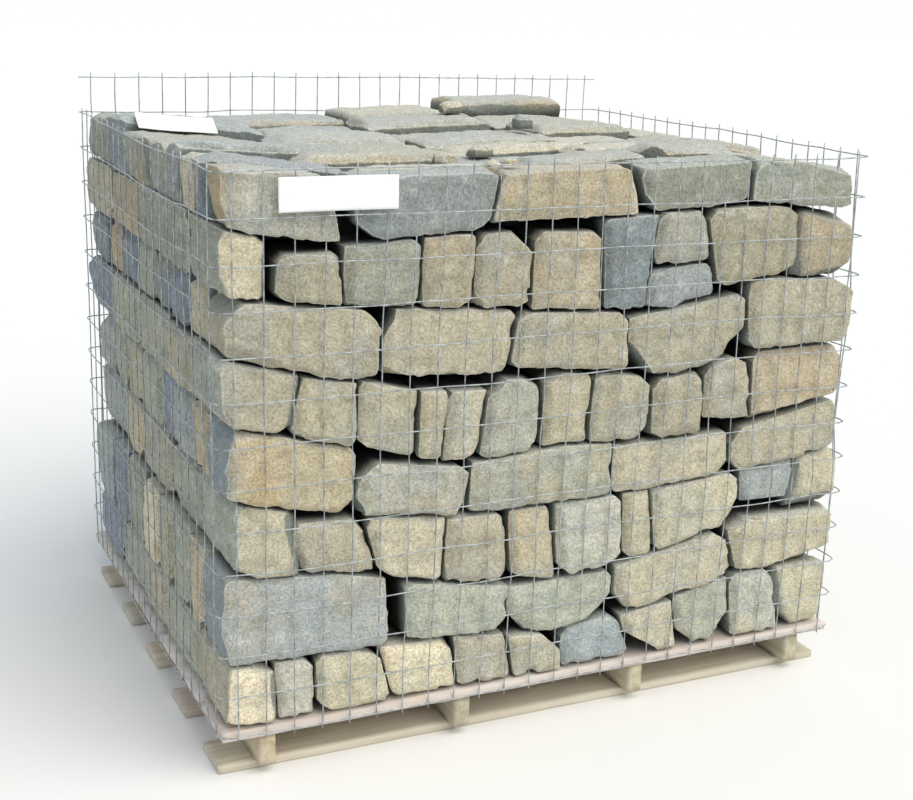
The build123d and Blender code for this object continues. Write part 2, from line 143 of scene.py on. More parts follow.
class LatticeNoise:
    """Smooth value noise: seeded random numbers on a cubic lattice that repeats, blended between."""

    def __init__(self, seed: int, size: int = 32) -> None:
        """Draws the lattice, which repeats after size cells along each side."""
        self.size = size
        self.values = np.random.default_rng(seed).uniform(-1.0, 1.0, (size, size, size))

    def __call__(self, points: Array, wavelength: float) -> Array:
        """Noise at points: the eight lattice values round each point, blended by a quintic fade.

        Args:
            points: Places in metres, shape (n, 3).
            wavelength: Side of a lattice cell in metres.

        Returns:
            Values from -1 to 1, shape (n,).
        """
        scaled = points / wavelength
        base = np.floor(scaled).astype(np.int64)
        part = scaled - base
        fade = part ** 3 * (part * (part * 6 - 15) + 10)
        total = np.zeros(len(points))
        for corner in np.ndindex(2, 2, 2):
            step = np.array(corner)
            cell = (base + step) % self.size
            weight = np.prod(np.where(step == 1, fade, 1 - fade), axis=1)
            total += weight * self.values[cell[:, 0], cell[:, 1], cell[:, 2]]
        return total

    def layered(self, points: Array, wavelength: float, layers: int) -> Array:
        """Mean of the noise at halving wavelengths, where each layer counts half as much as the last.

        Args:
            points: Places in metres, shape (n, 3).
            wavelength: Wavelength of the first layer, in metres.
            layers: Number of layers.

        Returns:
            Values from -1 to 1, shape (n,).
        """
        total = np.zeros(len(points))
        for layer in range(layers):
            total += self(points + 0.37 * wavelength * layer, wavelength / 2 ** layer) / 2 ** layer
        return total / (2 - 2.0 ** (1 - layers))


NOISE = LatticeNoise(seed=11)


@lru_cache(maxsize=None)
def block_grid(*lines: tuple[float, ...]) -> tuple[Array, Array]:
    """Quads over the six sides of a block, sharing their points at the seams.

    Args:
        *lines: Places of the grid lines along X, Y and Z, each rising from -1 to 1.

    Returns:
        Points on the block's sides, shape (n, 3), and quads, shape (m, 4).
    """
    counts = np.array([len(line) - 1 for line in lines])
    lattice = np.stack(np.meshgrid(*(np.arange(n + 1) for n in counts), indexing="ij"), axis=-1)
    outer = np.any((lattice == 0) | (lattice == counts), axis=-1)
    numbers = np.full(outer.shape, -1)
    numbers[outer] = np.arange(outer.sum())
    points = np.column_stack([np.array(line)[lattice[outer][:, axis]] for axis, line in enumerate(lines)])
    quads = []
    for axis in range(3):
        for end in (0, -1):
            side = np.take(numbers, end, axis=axis)
            loop = [side[:-1, :-1], side[1:, :-1], side[1:, 1:], side[:-1, 1:]]
            if (end == 0) != (axis == 1):
                loop.reverse()
            quads.append(np.stack(loop, axis=-1).reshape(-1, 4))
    return points, np.concatenate(quads)


def even_lines(size: Array, step: float, least: int, most: int) -> list[tuple[float, ...]]:
    """Even grid lines for a block, with cells of about one step.

    Args:
        size: Size of the block.
        step: Side of a cell.
        least: Fewest cells along an axis.
        most: Most cells along an axis.

    Returns:
        Places from -1 to 1 along each axis.
    """
    counts = np.clip(np.round(size / step), least, most).astype(int)
    return [tuple(np.linspace(-1, 1, count + 1)) for count in counts]


@lru_cache(maxsize=None)
def capped_tube(
    across: tuple[float, ...], upward: tuple[float, ...], depths: tuple[float, ...]
) -> tuple[Array, Array]:
    """Quads over a square cap, the rings that run back from its rim and a fan that closes them.

    Args:
        across: Places of the cap's grid lines in one direction, rising from -1 to 1.
        upward: Places of the cap's grid lines in the other direction.
        depths: Shares of the depth at which the rings lie, rising from 0 at the cap's rim to 1.

    Returns:
        Place of each point on the square and its share of the depth, shape (n, 3), and quads, shape
        (m, 4), which face outwards where the cap looks along across x upward. The last point is the
        fan's middle.
    """
    columns, rows = len(across), len(upward)
    numbers = np.arange(columns * rows).reshape(columns, rows)
    first, second = np.meshgrid(across, upward, indexing="ij")
    points = [np.column_stack([first.ravel(), second.ravel(), np.zeros(columns * rows)])]
    cells = [numbers[:-1, :-1], numbers[1:, :-1], numbers[1:, 1:], numbers[:-1, 1:]]
    quads = [np.stack(cells, axis=-1).reshape(-1, 4)]
    rim = np.concatenate([numbers[:-1, 0], numbers[-1, :-1], numbers[:0:-1, -1], numbers[0, :0:-1]])
    loop = rim
    for level, depth in enumerate(depths[1:]):
        deeper = columns * rows + level * len(rim) + np.arange(len(rim))
        ring = points[0][rim].copy()
        ring[:, 2] = depth
        points.append(ring)
        quads.append(np.stack([loop, deeper, np.roll(deeper, -1), np.roll(loop, -1)], axis=-1))
        loop = deeper
    points.append(np.array([[0.0, 0.0, 1.0]]))
    middle = np.full(len(rim) // 2, loop[-1] + 1)
    quads.append(np.stack([middle, np.roll(loop, -2)[::2], np.roll(loop, -1)[::2], loop[::2]], axis=-1))
    return np.concatenate(points), np.concatenate(quads)


def rimmed_lines(length: float, step: float, rim: float) -> tuple[float, ...]:
    """Even grid lines over a length, with one more line close inside each end.

    Args:
        length: The length, in metres.
        step: Wanted distance of the lines.
        rim: Distance of the outer lines from the ends.

    Returns:
        Places of the lines as shares of the length, from 0 to 1.
    """
    cells = max(3, round((length - 2 * rim) / step))
    return (0.0, *np.linspace(rim, length - rim, cells + 1) / length, 1.0)


def make_piece(name: str, points: Array, quads: Array, extras: dict[str, Array] | None = None) -> Thing:
    """A smooth mesh object at the origin, with attributes on its points.

    Args:
        name: Name of the object.
        points: Places in metres, shape (n, 3).
        quads: Faces, shape (m, 4).
        extras: Colours of shape (n, 4), vectors (n, 3) or numbers (n,), by attribute name.

    Returns:
        The object, linked to the scene.
    """
    mesh = bpy.data.meshes.new(name)
    mesh.vertices.add(len(points))
    mesh.vertices.foreach_set("co", np.ascontiguousarray(points, dtype=np.float32).ravel())
    mesh.loops.add(quads.size)
    mesh.loops.foreach_set("vertex_index", quads.astype(np.int32).ravel())
    mesh.polygons.add(len(quads))
    mesh.polygons.foreach_set("loop_start", np.arange(0, quads.size, quads.shape[1], dtype=np.int32))
    mesh.polygons.foreach_set("use_smooth", np.ones(len(quads), dtype=bool))
    mesh.update(calc_edges=True)
    for label, values in (extras or {}).items():
        kind, key = ATTRIBUTE_KINDS[values.shape[1:]]
        layer = mesh.attributes.new(label, kind, "POINT")
        layer.data.foreach_set(key, values.astype(np.float32).ravel())
    piece = bpy.data.objects.new(name, mesh)
    bpy.context.scene.collection.objects.link(piece)
    return piece


def hand_over(piece: Thing, node: str, material: Material) -> None:
    """Gives a finished piece its material and lets it stand for its node.

    Args:
        piece: The piece.
        node: Name of the node that it replaces.
        material: Its material.
    """
    piece.data.materials.append(material)
    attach(piece, "root")
    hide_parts(node)
    log.info("%s: %d quads", piece.name, len(piece.data.polygons))


@dataclass
class Heap:
    """Shapes gathered into one mesh, with the same attributes on each."""

    points: list[Array] = field(default_factory=list)
    quads: list[Array] = field(default_factory=list)
    extras: dict[str, list[Array]] = field(default_factory=dict)
    count: int = 0

    def put(self, points: Array, quads: Array, **extras: Array) -> None:
        """Adds one shape and its attributes.

        Args:
            points: Places in metres, shape (n, 3).
            quads: Faces by the shape's own point numbers.
            **extras: Attributes on its points, by name.
        """
        self.points.append(points)
        self.quads.append(quads + self.count)
        for label, values in extras.items():
            self.extras.setdefault(label, []).append(values)
        self.count += len(points)

    def piece(self, name: str) -> Thing:
        """The gathered shapes as one object."""
        joined = {label: np.concatenate(values) for label, values in self.extras.items()}
        return make_piece(name, np.concatenate(self.points), np.concatenate(self.quads), joined)


@dataclass(frozen=True)
class Island:
    """One solid of a node: its corners and the planes of its flat sides."""

    corners: Array
    normals: Array
    offsets: Array

    @property
    def low(self) -> Array:
        """Lowest corner of the solid's box."""
        return self.corners.min(axis=0)

    @property
    def high(self) -> Array:
        """Highest corner of the solid's box."""
        return self.corners.max(axis=0)

    @property
    def centre(self) -> Array:
        """Middle of the solid's box."""
        return (self.low + self.high) / 2


def islands_of(node: Thing) -> list[Island]:
    """The separate solids of a node.

    Points at one place are counted once, and every triangle gives its lowest label to its points
    until the labels stop changing, so each solid ends with one label.

    Args:
        node: The node's object, whose mesh is loose triangles.

    Returns:
        The solids, each with its corners and flat sides.
    """
    mesh = node.data
    places = np.empty(len(mesh.vertices) * 3, dtype=np.float32)
    mesh.vertices.foreach_get("co", places)
    mesh.calc_loop_triangles()
    triangles = np.empty(len(mesh.loop_triangles) * 3, dtype=np.int32)
    mesh.loop_triangles.foreach_get("vertices", triangles)
    merged, inverse = np.unique(np.round(places.reshape(-1, 3).astype(float), 5), axis=0, return_inverse=True)
    triangles = inverse.reshape(-1)[triangles].reshape(-1, 3)
    labels = np.arange(len(merged))
    while True:
        lowest = labels[triangles].min(axis=1)
        updated = labels.copy()
        for corner in range(3):
            np.minimum.at(updated, triangles[:, corner], lowest)
        if np.array_equal(updated, labels):
            break
        labels = updated
    found = []
    for label in np.unique(labels[triangles[:, 0]]):
        faces = triangles[labels[triangles[:, 0]] == label]
        a, b, c = (merged[faces[:, k]] for k in range(3))
        cross = np.cross(b - a, c - a)
        size = np.linalg.norm(cross, axis=1)
        keep = size > 1e-9
        normals = cross[keep] / size[keep, None]
        offsets = np.einsum("ij,ij->i", normals, a[keep])
        planes = np.unique(np.round(np.column_stack([normals, offsets]), 3), axis=0)
        normals = planes[:, :3] / np.linalg.norm(planes[:, :3], axis=1, keepdims=True)
        corners = merged[np.unique(faces)]
        found.append(Island(corners, normals, (corners @ normals.T).max(axis=0)))
    return found


class Tap:
    """A shader socket that Python arithmetic can be written with."""

    def __init__(self, bench: NodeBench, socket: bpy.types.NodeSocket) -> None:
        """Wraps an output, with the bench that adds its Math nodes."""
        self.bench = bench
        self.socket = socket

    def __add__(self, other: Tap | float) -> Tap:
        """Sum."""
        return self.bench.maths("ADD", self, other)

    def __radd__(self, other: float) -> Tap:
        """Sum, with the number first."""
        return self.bench.maths("ADD", other, self)

    def __sub__(self, other: Tap | float) -> Tap:
        """Difference."""
        return self.bench.maths("SUBTRACT", self, other)

    def __rsub__(self, other: float) -> Tap:
        """Difference, with the number first."""
        return self.bench.maths("SUBTRACT", other, self)

    def __mul__(self, other: Tap | float) -> Tap:
        """Product."""
        return self.bench.maths("MULTIPLY", self, other)

    def __rmul__(self, other: float) -> Tap:
        """Product, with the number first."""
        return self.bench.maths("MULTIPLY", other, self)


class NodeBench:
    """Lays out the nodes of one material, or of the world."""

    def __init__(self, owner: Material | bpy.types.World) -> None:
        """Clears the nodes of a new material or world."""
        self.owner = owner
        owner.use_nodes = True
        self.tree = owner.node_tree
        self.tree.nodes.clear()

    def node(
        self, kind: str, settings: dict[str, object] | None = None, inputs: dict[str | int, object] | None = None
    ) -> bpy.types.Node:
        """Adds a node, sets it, then fills or links its sockets.

        Args:
            kind: Node type without the ShaderNode prefix.
            settings: Properties by name.
            inputs: Values, taps or sockets, by socket name or number.

        Returns:
            The node.
        """
        made = self.tree.nodes.new("ShaderNode" + kind)
        for label, value in (settings or {}).items():
            setattr(made, label, value)
        for label, value in (inputs or {}).items():
            value = value.socket if isinstance(value, Tap) else value
            if isinstance(value, bpy.types.NodeSocket):
                self.tree.links.new(value, made.inputs[label])
            else:
                made.inputs[label].default_value = value
        return made

    def maths(self, operation: str, first: Tap | float, second: Tap | float) -> Tap:
        """Result of one Math node."""
        return Tap(self, self.node("Math", {"operation": operation}, {0: first, 1: second}).outputs[0])

    def band(self, value: Tap, low: float, high: float) -> Tap:
        """Smooth step of a value.

        Args:
            value: The value.
            low: Where the step starts, which may lie over its end.
            high: Where the step ends.

        Returns:
            A mask that goes from 0 at low to 1 at high.
        """
        inputs = {"Value": value, "From Min": low, "From Max": high}
        return Tap(self, self.node("MapRange", {"interpolation_type": "SMOOTHSTEP"}, inputs).outputs["Result"])

    def mix(self, factor: Tap | float, first: object, second: object, blend: str = "MIX") -> Tap:
        """Mix of two colours.

        Args:
            factor: Share of the second colour.
            first: First colour.
            second: Second colour.
            blend: Blender's name of the blend.

        Returns:
            The mixed colour.
        """
        settings = {"data_type": "RGBA", "blend_type": blend, "clamp_result": False}
        return Tap(self, self.node("Mix", settings, {0: factor, 6: first, 7: second}).outputs[2])

    def vector(self, operation: str, first: object, second: object) -> Tap:
        """Result of one Vector Math node, whose second input may be the factor of SCALE."""
        slot = 3 if operation == "SCALE" else 1
        return Tap(self, self.node("VectorMath", {"operation": operation}, {0: first, slot: second}).outputs[0])

    def attribute(self, label: str, output: str = "Color") -> Tap:
        """An attribute of the piece's own mesh, read as Color, Vector, Fac or Alpha."""
        return Tap(self, self.node("Attribute", {"attribute_name": label}).outputs[output])

    def noise(self, place: object, scale: float, detail: float = 3.0, roughness: float = 0.5) -> Tap:
        """Noise texture.

        Args:
            place: Coordinates.
            scale: Cells to the metre.
            detail: Number of finer layers.
            roughness: Strength of the finer layers.

        Returns:
            A value of about 0 to 1.
        """
        inputs = {"Vector": place, "Scale": scale, "Detail": detail, "Roughness": roughness}
        return Tap(self, self.node("TexNoise", None, inputs).outputs[0])

    def finish(
        self,
        colour: object,
        roughness: object,
        relief: Tap | None = None,
        depth: float = 0.001,
        metallic: float = 0.0,
        specular: float = 0.5,
    ) -> Material:
        """Joins the looks to the surface.

        Args:
            colour: Base colour.
            roughness: Roughness.
            relief: Height that the bump reads, or None.
            depth: Depth of the relief, in metres.
            metallic: Share of metal.
            specular: Level of the gloss.

        Returns:
            The material.
        """
        inputs = {
            "Base Color": colour, "Roughness": roughness, "Metallic": metallic, "Specular IOR Level": specular,
        }
        if relief is not None:
            bump = self.node("Bump", None, {"Height": relief, "Strength": 1.0, "Distance": depth})
            inputs["Normal"] = bump.outputs[0]
        surface = self.node("BsdfPrincipled", None, inputs)
        self.node("OutputMaterial", None, {"Surface": surface.outputs[0]})
        return self.owner


@dataclass(frozen=True)
class SplitStoneFinish:
    """Split sandstone: fine grain, iron stain, blue-grey heart, pale arrises that are partly worn and partly a
    painted highlight, a painted sky reflection on the tops and painted shade in the joints.
    """

    grain_cells: float = 520.0
    speckle_cells: float = 230.0
    pit_cells: float = 150.0
    coarse_cells: float = 95.0
    mottle_cells: float = 34.0
    stain_cells: float = 8.0
    bedding_cells: tuple[float, float, float] = (7.0, 7.0, 46.0)
    relief_depth: float = 0.0042
    stain: Colour = srgb("c2a673")
    heart: Colour = srgb("8f9da3")
    # Pale dust, also used as a painted highlight along the arrises.
    dust_and_highlight: Colour = srgb("dedccd")
    shade: Colour = srgb("7d7a6a")
    # Blue-grey of split sides in the joints, partly their own colour and partly painted shade.
    joint: Colour = srgb("7f8b8a")
    # Colour of the painted sky reflection on faces that look up.
    sky: Colour = srgb("d2d7d4")
    pit: Colour = srgb("6b675a")

    def material(self) -> Material:
        """The stone's material, which reads the tone, edge, deep and shift attributes.

        The alpha of the tone says how much iron stain the stone has.
        """
        bench = NodeBench(bpy.data.materials.new("split_sandstone"))
        place = bench.node("TexCoord").outputs["Object"]
        shifted = bench.vector("ADD", place, bench.attribute("shift", "Vector"))
        rust = bench.attribute("tone", "Alpha")
        edge = bench.attribute("edge", "Fac")
        deep = bench.attribute("deep", "Fac")
        grain = bench.noise(shifted, self.grain_cells, 2.0, 0.6)
        speckle = bench.noise(shifted, self.speckle_cells, 3.0, 0.7)
        coarse = bench.noise(shifted, self.coarse_cells, 4.0, 0.6)
        mottle = bench.noise(shifted, self.mottle_cells, 5.0, 0.62)
        stain = bench.noise(shifted, self.stain_cells, 4.0, 0.6)
        heart = bench.noise(bench.vector("ADD", shifted, (3.1, 7.7, 1.3)), self.stain_cells * 0.8, 3.0, 0.55)
        bedding = bench.noise(bench.vector("MULTIPLY", shifted, self.bedding_cells), 1.0, 3.0, 0.55)
        pits = bench.noise(bench.vector("ADD", shifted, (1.7, 2.9, 5.3)), self.pit_cells, 2.0, 0.5)
        normal = bench.node("NewGeometry").outputs["Normal"]
        upward = Tap(bench, bench.node("SeparateXYZ", None, {0: normal}).outputs["Z"])
        # Joint sides behind the arris, away from faces that look up: partly blue-grey stone, partly painted shade.
        flank_tone_and_shade = bench.band(deep, 0.006, 0.045) * (1.0 - 0.85 * bench.band(upward, 0.25, 0.7))
        colour = bench.attribute("tone")
        for mask, over in (
            (bench.band(stain, 0.50, 0.70) * rust, self.stain),
            (bench.band(heart, 0.50, 0.66) * 0.24, self.heart),
            (bench.band(bedding, 0.52, 0.72) * 0.22, self.shade),
            (bench.band(mottle, 0.50, 0.32) * 0.34, self.shade),
            (bench.band(mottle, 0.52, 0.68) * 0.28, self.dust_and_highlight),
            (bench.band(pits, 0.36, 0.28) * 0.45, self.pit),
            (bench.band(pits, 0.66, 0.76) * 0.45, self.dust_and_highlight),
            (flank_tone_and_shade * 0.70, self.joint),
            # Painted sky reflection: faces that look up are painted paler and bluer.
            (bench.band(upward, 0.55, 0.95) * 0.42, self.sky),
            # Pale arrises: partly worn stone, partly a painted highlight.
            (bench.band(edge, 0.30, 0.9) * 0.5, self.dust_and_highlight),
        ):
            colour = bench.mix(mask, colour, over)
        light = 0.66 + 0.52 * bench.band(speckle, 0.30, 0.68) + 0.15 * bench.band(grain, 0.32, 0.68)
        # Painted shade: joint sides a little darker, and black deep behind the arrises where shade falls.
        painted_shade = (1.0 - 0.22 * flank_tone_and_shade) * (1.0 - 0.84 * bench.band(deep, 0.08, 0.50))
        colour = bench.vector("SCALE", colour, light * painted_shade)
        relief = coarse * 0.62 + speckle * 0.26 + grain * 0.12
        return bench.finish(colour, 0.82 + 0.14 * mottle, relief, self.relief_depth, specular=0.22)


@dataclass(frozen=True)
class HiddenStoneFinish:
    """Stone deep in the joints, painted dark as the shade there, where little light reaches."""

    painted_shade: Colour = srgb("3a382f")
    light: Colour = srgb("5a5748")

    def material(self) -> Material:
        """The hidden stone's material, painted shade."""
        bench = NodeBench(bpy.data.materials.new("core_painted_shade"))
        mottle = bench.noise(bench.node("TexCoord").outputs["Object"], 30.0, 4.0, 0.6)
        colour = bench.mix(bench.band(mottle, 0.35, 0.65), self.painted_shade, self.light)
        return bench.finish(colour, 0.95, mottle, 0.003, specular=0.1)


@dataclass(frozen=True)
class GalvanisedWireFinish:
    """Dull zinc on wire, with a patchy bloom."""

    bright: Colour = srgb("b4bbbd")
    dull: Colour = srgb("868d90")

    def material(self) -> Material:
        """The wire's material."""
        bench = NodeBench(bpy.data.materials.new("galvanised_wire"))
        place = bench.node("TexCoord").outputs["Object"]
        bloom = bench.noise(place, 60.0, 3.0, 0.6)
        fine = bench.noise(place, 900.0, 2.0, 0.5)
        colour = bench.mix(bench.band(bloom, 0.35, 0.65), self.dull, self.bright)
        return bench.finish(colour, 0.38 + 0.25 * bloom, fine, 0.0002, metallic=0.55)


@dataclass(frozen=True)
class SawnTimberFinish:
    """Rough-sawn pallet board: grain along the board, saw marks and grey weathering."""

    name: str
    early: Colour
    late: Colour
    weather: Colour

    def material(self) -> Material:
        """The board's material, which reads the grain and tint attributes."""
        bench = NodeBench(bpy.data.materials.new(self.name))
        grain = bench.attribute("grain", "Vector")
        fibre, wide, grey, saw = (
            bench.noise(bench.vector("MULTIPLY", grain, cells), 1.0, detail, roughness)
            for cells, detail, roughness in (
                ((2.2, 60.0, 60.0), 5.0, 0.6),
                ((1.2, 16.0, 16.0), 3.0, 0.5),
                ((5.0, 9.0, 9.0), 3.0, 0.6),
                ((420.0, 6.0, 6.0), 1.0, 0.4),
            )
        )
        colour = bench.mix(bench.band(fibre, 0.35, 0.68), self.early, self.late)
        colour = bench.mix(bench.band(wide, 0.4, 0.7) * 0.4, colour, self.late)
        colour = bench.mix(bench.band(grey, 0.35, 0.7) * 0.6, colour, self.weather)
        colour = bench.mix(1.0, colour, bench.attribute("tint"), "MULTIPLY")
        return bench.finish(colour, 0.86, fibre * 0.7 + saw * 0.3, 0.0014, specular=0.2)


@dataclass(frozen=True)
class CardFinish:
    """Plain white coated card, lightly soiled."""

    clean: Colour = srgb("f6f6f4")
    soiled: Colour = srgb("dcdad2")

    def material(self) -> Material:
        """The card's material."""
        bench = NodeBench(bpy.data.materials.new("white_card"))
        place = bench.node("TexCoord").outputs["Object"]
        soil = bench.noise(place, 35.0, 4.0, 0.6)
        fibre = bench.noise(place, 1600.0, 2.0, 0.5)
        colour = bench.mix(bench.band(soil, 0.5, 0.8) * 0.6, self.clean, self.soiled)
        return bench.finish(colour, 0.6, fibre, 0.0001, specular=0.3)


@dataclass(frozen=True)
class Sheets:
    """The sides of one stone, in axes whose third looks out along the side that it is worked from."""

    normals: Array
    offsets: Array

    @property
    def caps(self) -> Array:
        """Which sides face the viewer."""
        return self.normals[:, 2] > 0.6

    @property
    def walls(self) -> Array:
        """Which sides run back from the outline."""
        return (self.normals[:, 2] <= 0.6) & (self.normals[:, 2] > -0.8)

    def outline(self, direction: Array, height: Array, sink: Array) -> tuple[Array, Array]:
        """Distance of the outline from the third axis, and how far its wall leans to the viewer.

        A wall with normal n and distance o, sunk by h, is met at (o - h - n_3 z) / (n . e) in the
        direction e at the height z, and the nearest wall counts.

        Args:
            direction: Unit vectors in the plane of the first two axes, shape (n, 2).
            height: Heights along the third axis, shape (n,).
            sink: Sink of every side there, shape (n, sides).

        Returns:
            Distances and the third part of the met wall's normal, each of shape (n,).
        """
        normals = self.normals[self.walls]
        facing = direction @ normals[:, :2].T
        room = self.offsets[self.walls] - sink[:, self.walls] - height[:, None] * normals[:, 2]
        met = np.where(facing > 1e-6, room / np.maximum(facing, 1e-6), np.inf)
        return np.maximum(met.min(axis=1), 0.002), normals[met.argmin(axis=1), 2]

    def cap(self, spot: Array, sink: Array) -> Array:
        """Height of the cap: the least (o - h - n . q) / n_3 over its sides at a spot q.

        Args:
            spot: Places in the plane of the first two axes, shape (n, 2).
            sink: Sink of every side there, shape (n, sides).

        Returns:
            Heights, shape (n,).
        """
        normals = self.normals[self.caps]
        room = self.offsets[self.caps] - sink[:, self.caps] - spot @ normals[:, :2].T
        return (room / normals[:, 2]).min(axis=1)

    def rim(self, direction: Array, sink: Array) -> tuple[Array, Array]:
        """Where the outline meets the cap, found by turns.

        Args:
            direction: Unit vectors in the plane of the first two axes, shape (n, 2).
            sink: Sink of every side there, shape (n, sides).

        Returns:
            Distances from the third axis and heights along it, each of shape (n,).
        """
        height = np.full(len(direction), self.offsets[self.caps].min())
        for _ in range(8):
            distance, _ = self.outline(direction, height, sink)
            height = self.cap(direction * distance[:, None], sink)
        return distance, height

    def corners(self, half: Array) -> Array:
        """The outline's four corners: in each quarter the point that reaches furthest into it.

        Args:
            half: Half the stone's size along the first two axes.

        Returns:
            The corners at the rim, counter-clockwise from the lowest, shape (4, 2).
        """
        angles = np.linspace(-math.pi, math.pi, 361)[:-1]
        direction = np.column_stack([np.cos(angles), np.sin(angles)])
        distance, _ = self.rim(direction, np.zeros((len(angles), len(self.offsets))))
        place = direction * distance[:, None]
        reach = (np.abs(place / half) ** 3).sum(axis=1)
        return np.array([place[np.where(np.all(place * q > 0, axis=1), reach, -1).argmax()] for q in QUARTERS])


@dataclass
class StoneCourse:
    """One course of walling stones, split and roughened from the flat sides of its solids."""

    number: int
    front_tones: tuple[StoneTone, ...]
    end_tones: tuple[StoneTone, ...]
    seed: int
    step: float = 0.0062
    plain_step: float = 0.009
    rim: float = 0.0018
    joint_depths: tuple[float, ...] = (0.0018, 0.006, 0.012, 0.022, 0.040, 0.075)
    skin: float = 0.075
    front_skin: float = 0.03
    facets: int = 3
    facet_depth: float = 0.005
    facet_tilt: float = 0.20
    plain_boldness: float = 1.7
    light: float = 1.0
    corner_loss: float = 0.016
    spall_depth: float = 0.006
    spall_reach: float = 0.010
    spall_wave: float = 0.032
    waves: tuple[float, ...] = (0.048, 0.020, 0.0105)
    shares: tuple[float, ...] = (0.38, 0.34, 0.28)
    face_relief: float = 0.0040
    joint_relief: float = 0.0030
    joint_growth: float = 0.0002
    # Painted shade: stones on the left end, which lies in shade, are painted darker by this factor.
    end_light: float = 0.90
    bed_relief: float = 0.0012
    under_relief: float = 0.0055
    # Width of the pale band at the arrises, which is partly wear and partly a painted highlight.
    worn_and_highlit_edge: float = 0.002
    dark_depth: float = 0.09
    tone_change: float = 0.006
    small_stone: float = 0.08
    odds: tuple[float, ...] = (0.05, 0.20, 0.20, 0.20, 0.13, 0.05, 0.06, 0.02, 0.08, 0.01)
    tones_above: tuple[StoneTone, ...] = (L, A, B, O, C, K)
    tones_around: tuple[StoneTone, ...] = (O, B, C, O, R, K)

    @property
    def node(self) -> str:
        """Name of the course's node."""
        return f"course_{self.number}" if self.number else "loose_chips"

    @property
    def open_above(self) -> bool:
        """Whether the stones show from above."""
        return self.number in (0, 8)

    def shown_sides(self, island: Island, load: tuple[Array, Array]) -> list[Array]:
        """Outward directions in which a stone shows, with the one that it is worked from first.

        That is the front or the back where the stone reaches it, unless the stone shows a much
        longer side at an end of the load. Inner stones of the open top are worked from above.

        Args:
            island: The solid.
            load: Lowest and highest corner of the whole load.

        Returns:
            Unit vectors along the axes.
        """
        sides = []
        for axis in (1, 0):
            for sign, room in ((-1, island.low[axis] - load[0][axis]), (1, load[1][axis] - island.high[axis])):
                if room < self.skin:
                    sides.append(sign * np.eye(3)[axis])
        size = island.high - island.low
        if len(sides) == 2 and size[1] > 1.3 * size[0]:
            sides.reverse()
        if self.open_above:
            sides.insert(1 if sides and sides[0][1] != 0 else 0, np.eye(3)[2])
        return sides

    def planes(self, island: Island, sides: list[Array], rng: np.random.Generator) -> tuple[Array, Array]:
        """The solid's own flat sides and the slanting ones that splitting left.

        For each side that shows there are facets that tilt the face a few degrees, chops across the
        four corners of its outline and sides of the outline that run a little askew. A cut lies a
        depth inside the furthest corner along its direction, and small depths are likelier. Cuts are
        bolder at the ends of the load, and facets also on its open top.

        Args:
            island: The solid.
            sides: Directions in which the stone shows.
            rng: Source of the random numbers.

        Returns:
            Outward normals, shape (n, 3), and their distances from the origin, shape (n,).
        """
        small = min(1.0, float((island.high - island.low).min()) / self.small_stone)
        normals = []
        depths = []
        for side in sides:
            across = [axis for axis in np.eye(3) if abs(axis @ side) < 0.5]
            bold = self.plain_boldness if abs(side[0]) > 0.5 or sides[0][2] > 0.5 else 1.0
            for _ in range(self.facets):
                turn = rng.uniform(0, 2 * math.pi)
                tilt = bold * rng.uniform(0.03, self.facet_tilt)
                normals.append(side + tilt * (math.cos(turn) * across[0] + math.sin(turn) * across[1]))
                depths.append(bold * rng.uniform(0.0, self.facet_depth))
            for first, second in ((1, 1), (1, -1), (-1, 1), (-1, -1)):
                turn = math.radians(rng.uniform(20, 70))
                corner = first * math.cos(turn) * across[0] + second * math.sin(turn) * across[1]
                normals.append(corner + rng.uniform(0.0, 0.3) * side)
                depths.append(bold * self.corner_loss * rng.uniform(0, 1) ** 3)
            for outer, other in ((0, 1), (1, 0)):
                for sign in (1, -1):
                    askew = bold * rng.uniform(-0.08, 0.08) * across[other]
                    normals.append(sign * across[outer] + askew + rng.uniform(0, 0.06) * side)
                    depths.append(rng.uniform(-0.001, 0.003))
        cuts = np.array(normals)
        cuts /= np.linalg.norm(cuts, axis=1, keepdims=True)
        reach = (island.corners @ cuts.T).max(axis=0) - np.array(depths) * small
        return np.concatenate([island.normals, cuts]), np.concatenate([island.offsets, reach])

    def sinks(self, normals: Array, sides: list[Array], places: Array, spall: Array) -> Array:
        """How deep each side is sunk at given places, by its roughness and by flakes lost at an arris.

        A shown side is only sunk. A bed is sunk too, the lower one more, so that no stone reaches
        into its neighbours. A joint side also grows, to close the gap between the solids.

        Args:
            normals: Outward normals of the sides.
            sides: Directions in which the stone shows.
            places: Places on the smooth stone, shifted for this stone, shape (n, 3).
            spall: Depth of the flakes lost there, shape (n,).

        Returns:
            Depths, shape (n, sides).
        """
        rough = sum(share * NOISE(places, wave) for wave, share in zip(self.waves, self.shares))
        shown = np.any([normals @ side > 0.6 for side in sides], axis=0)
        bed = ~shown & (np.abs(normals[:, 2]) > 0.7)
        relief = np.where(shown, self.face_relief, np.where(bed, self.bed_relief, self.joint_relief))
        relief[bed & (normals[:, 2] < 0)] = self.under_relief
        base = np.where(shown | bed, 0.8 * relief, -self.joint_growth)
        return base + rough[:, None] * relief + spall[:, None]

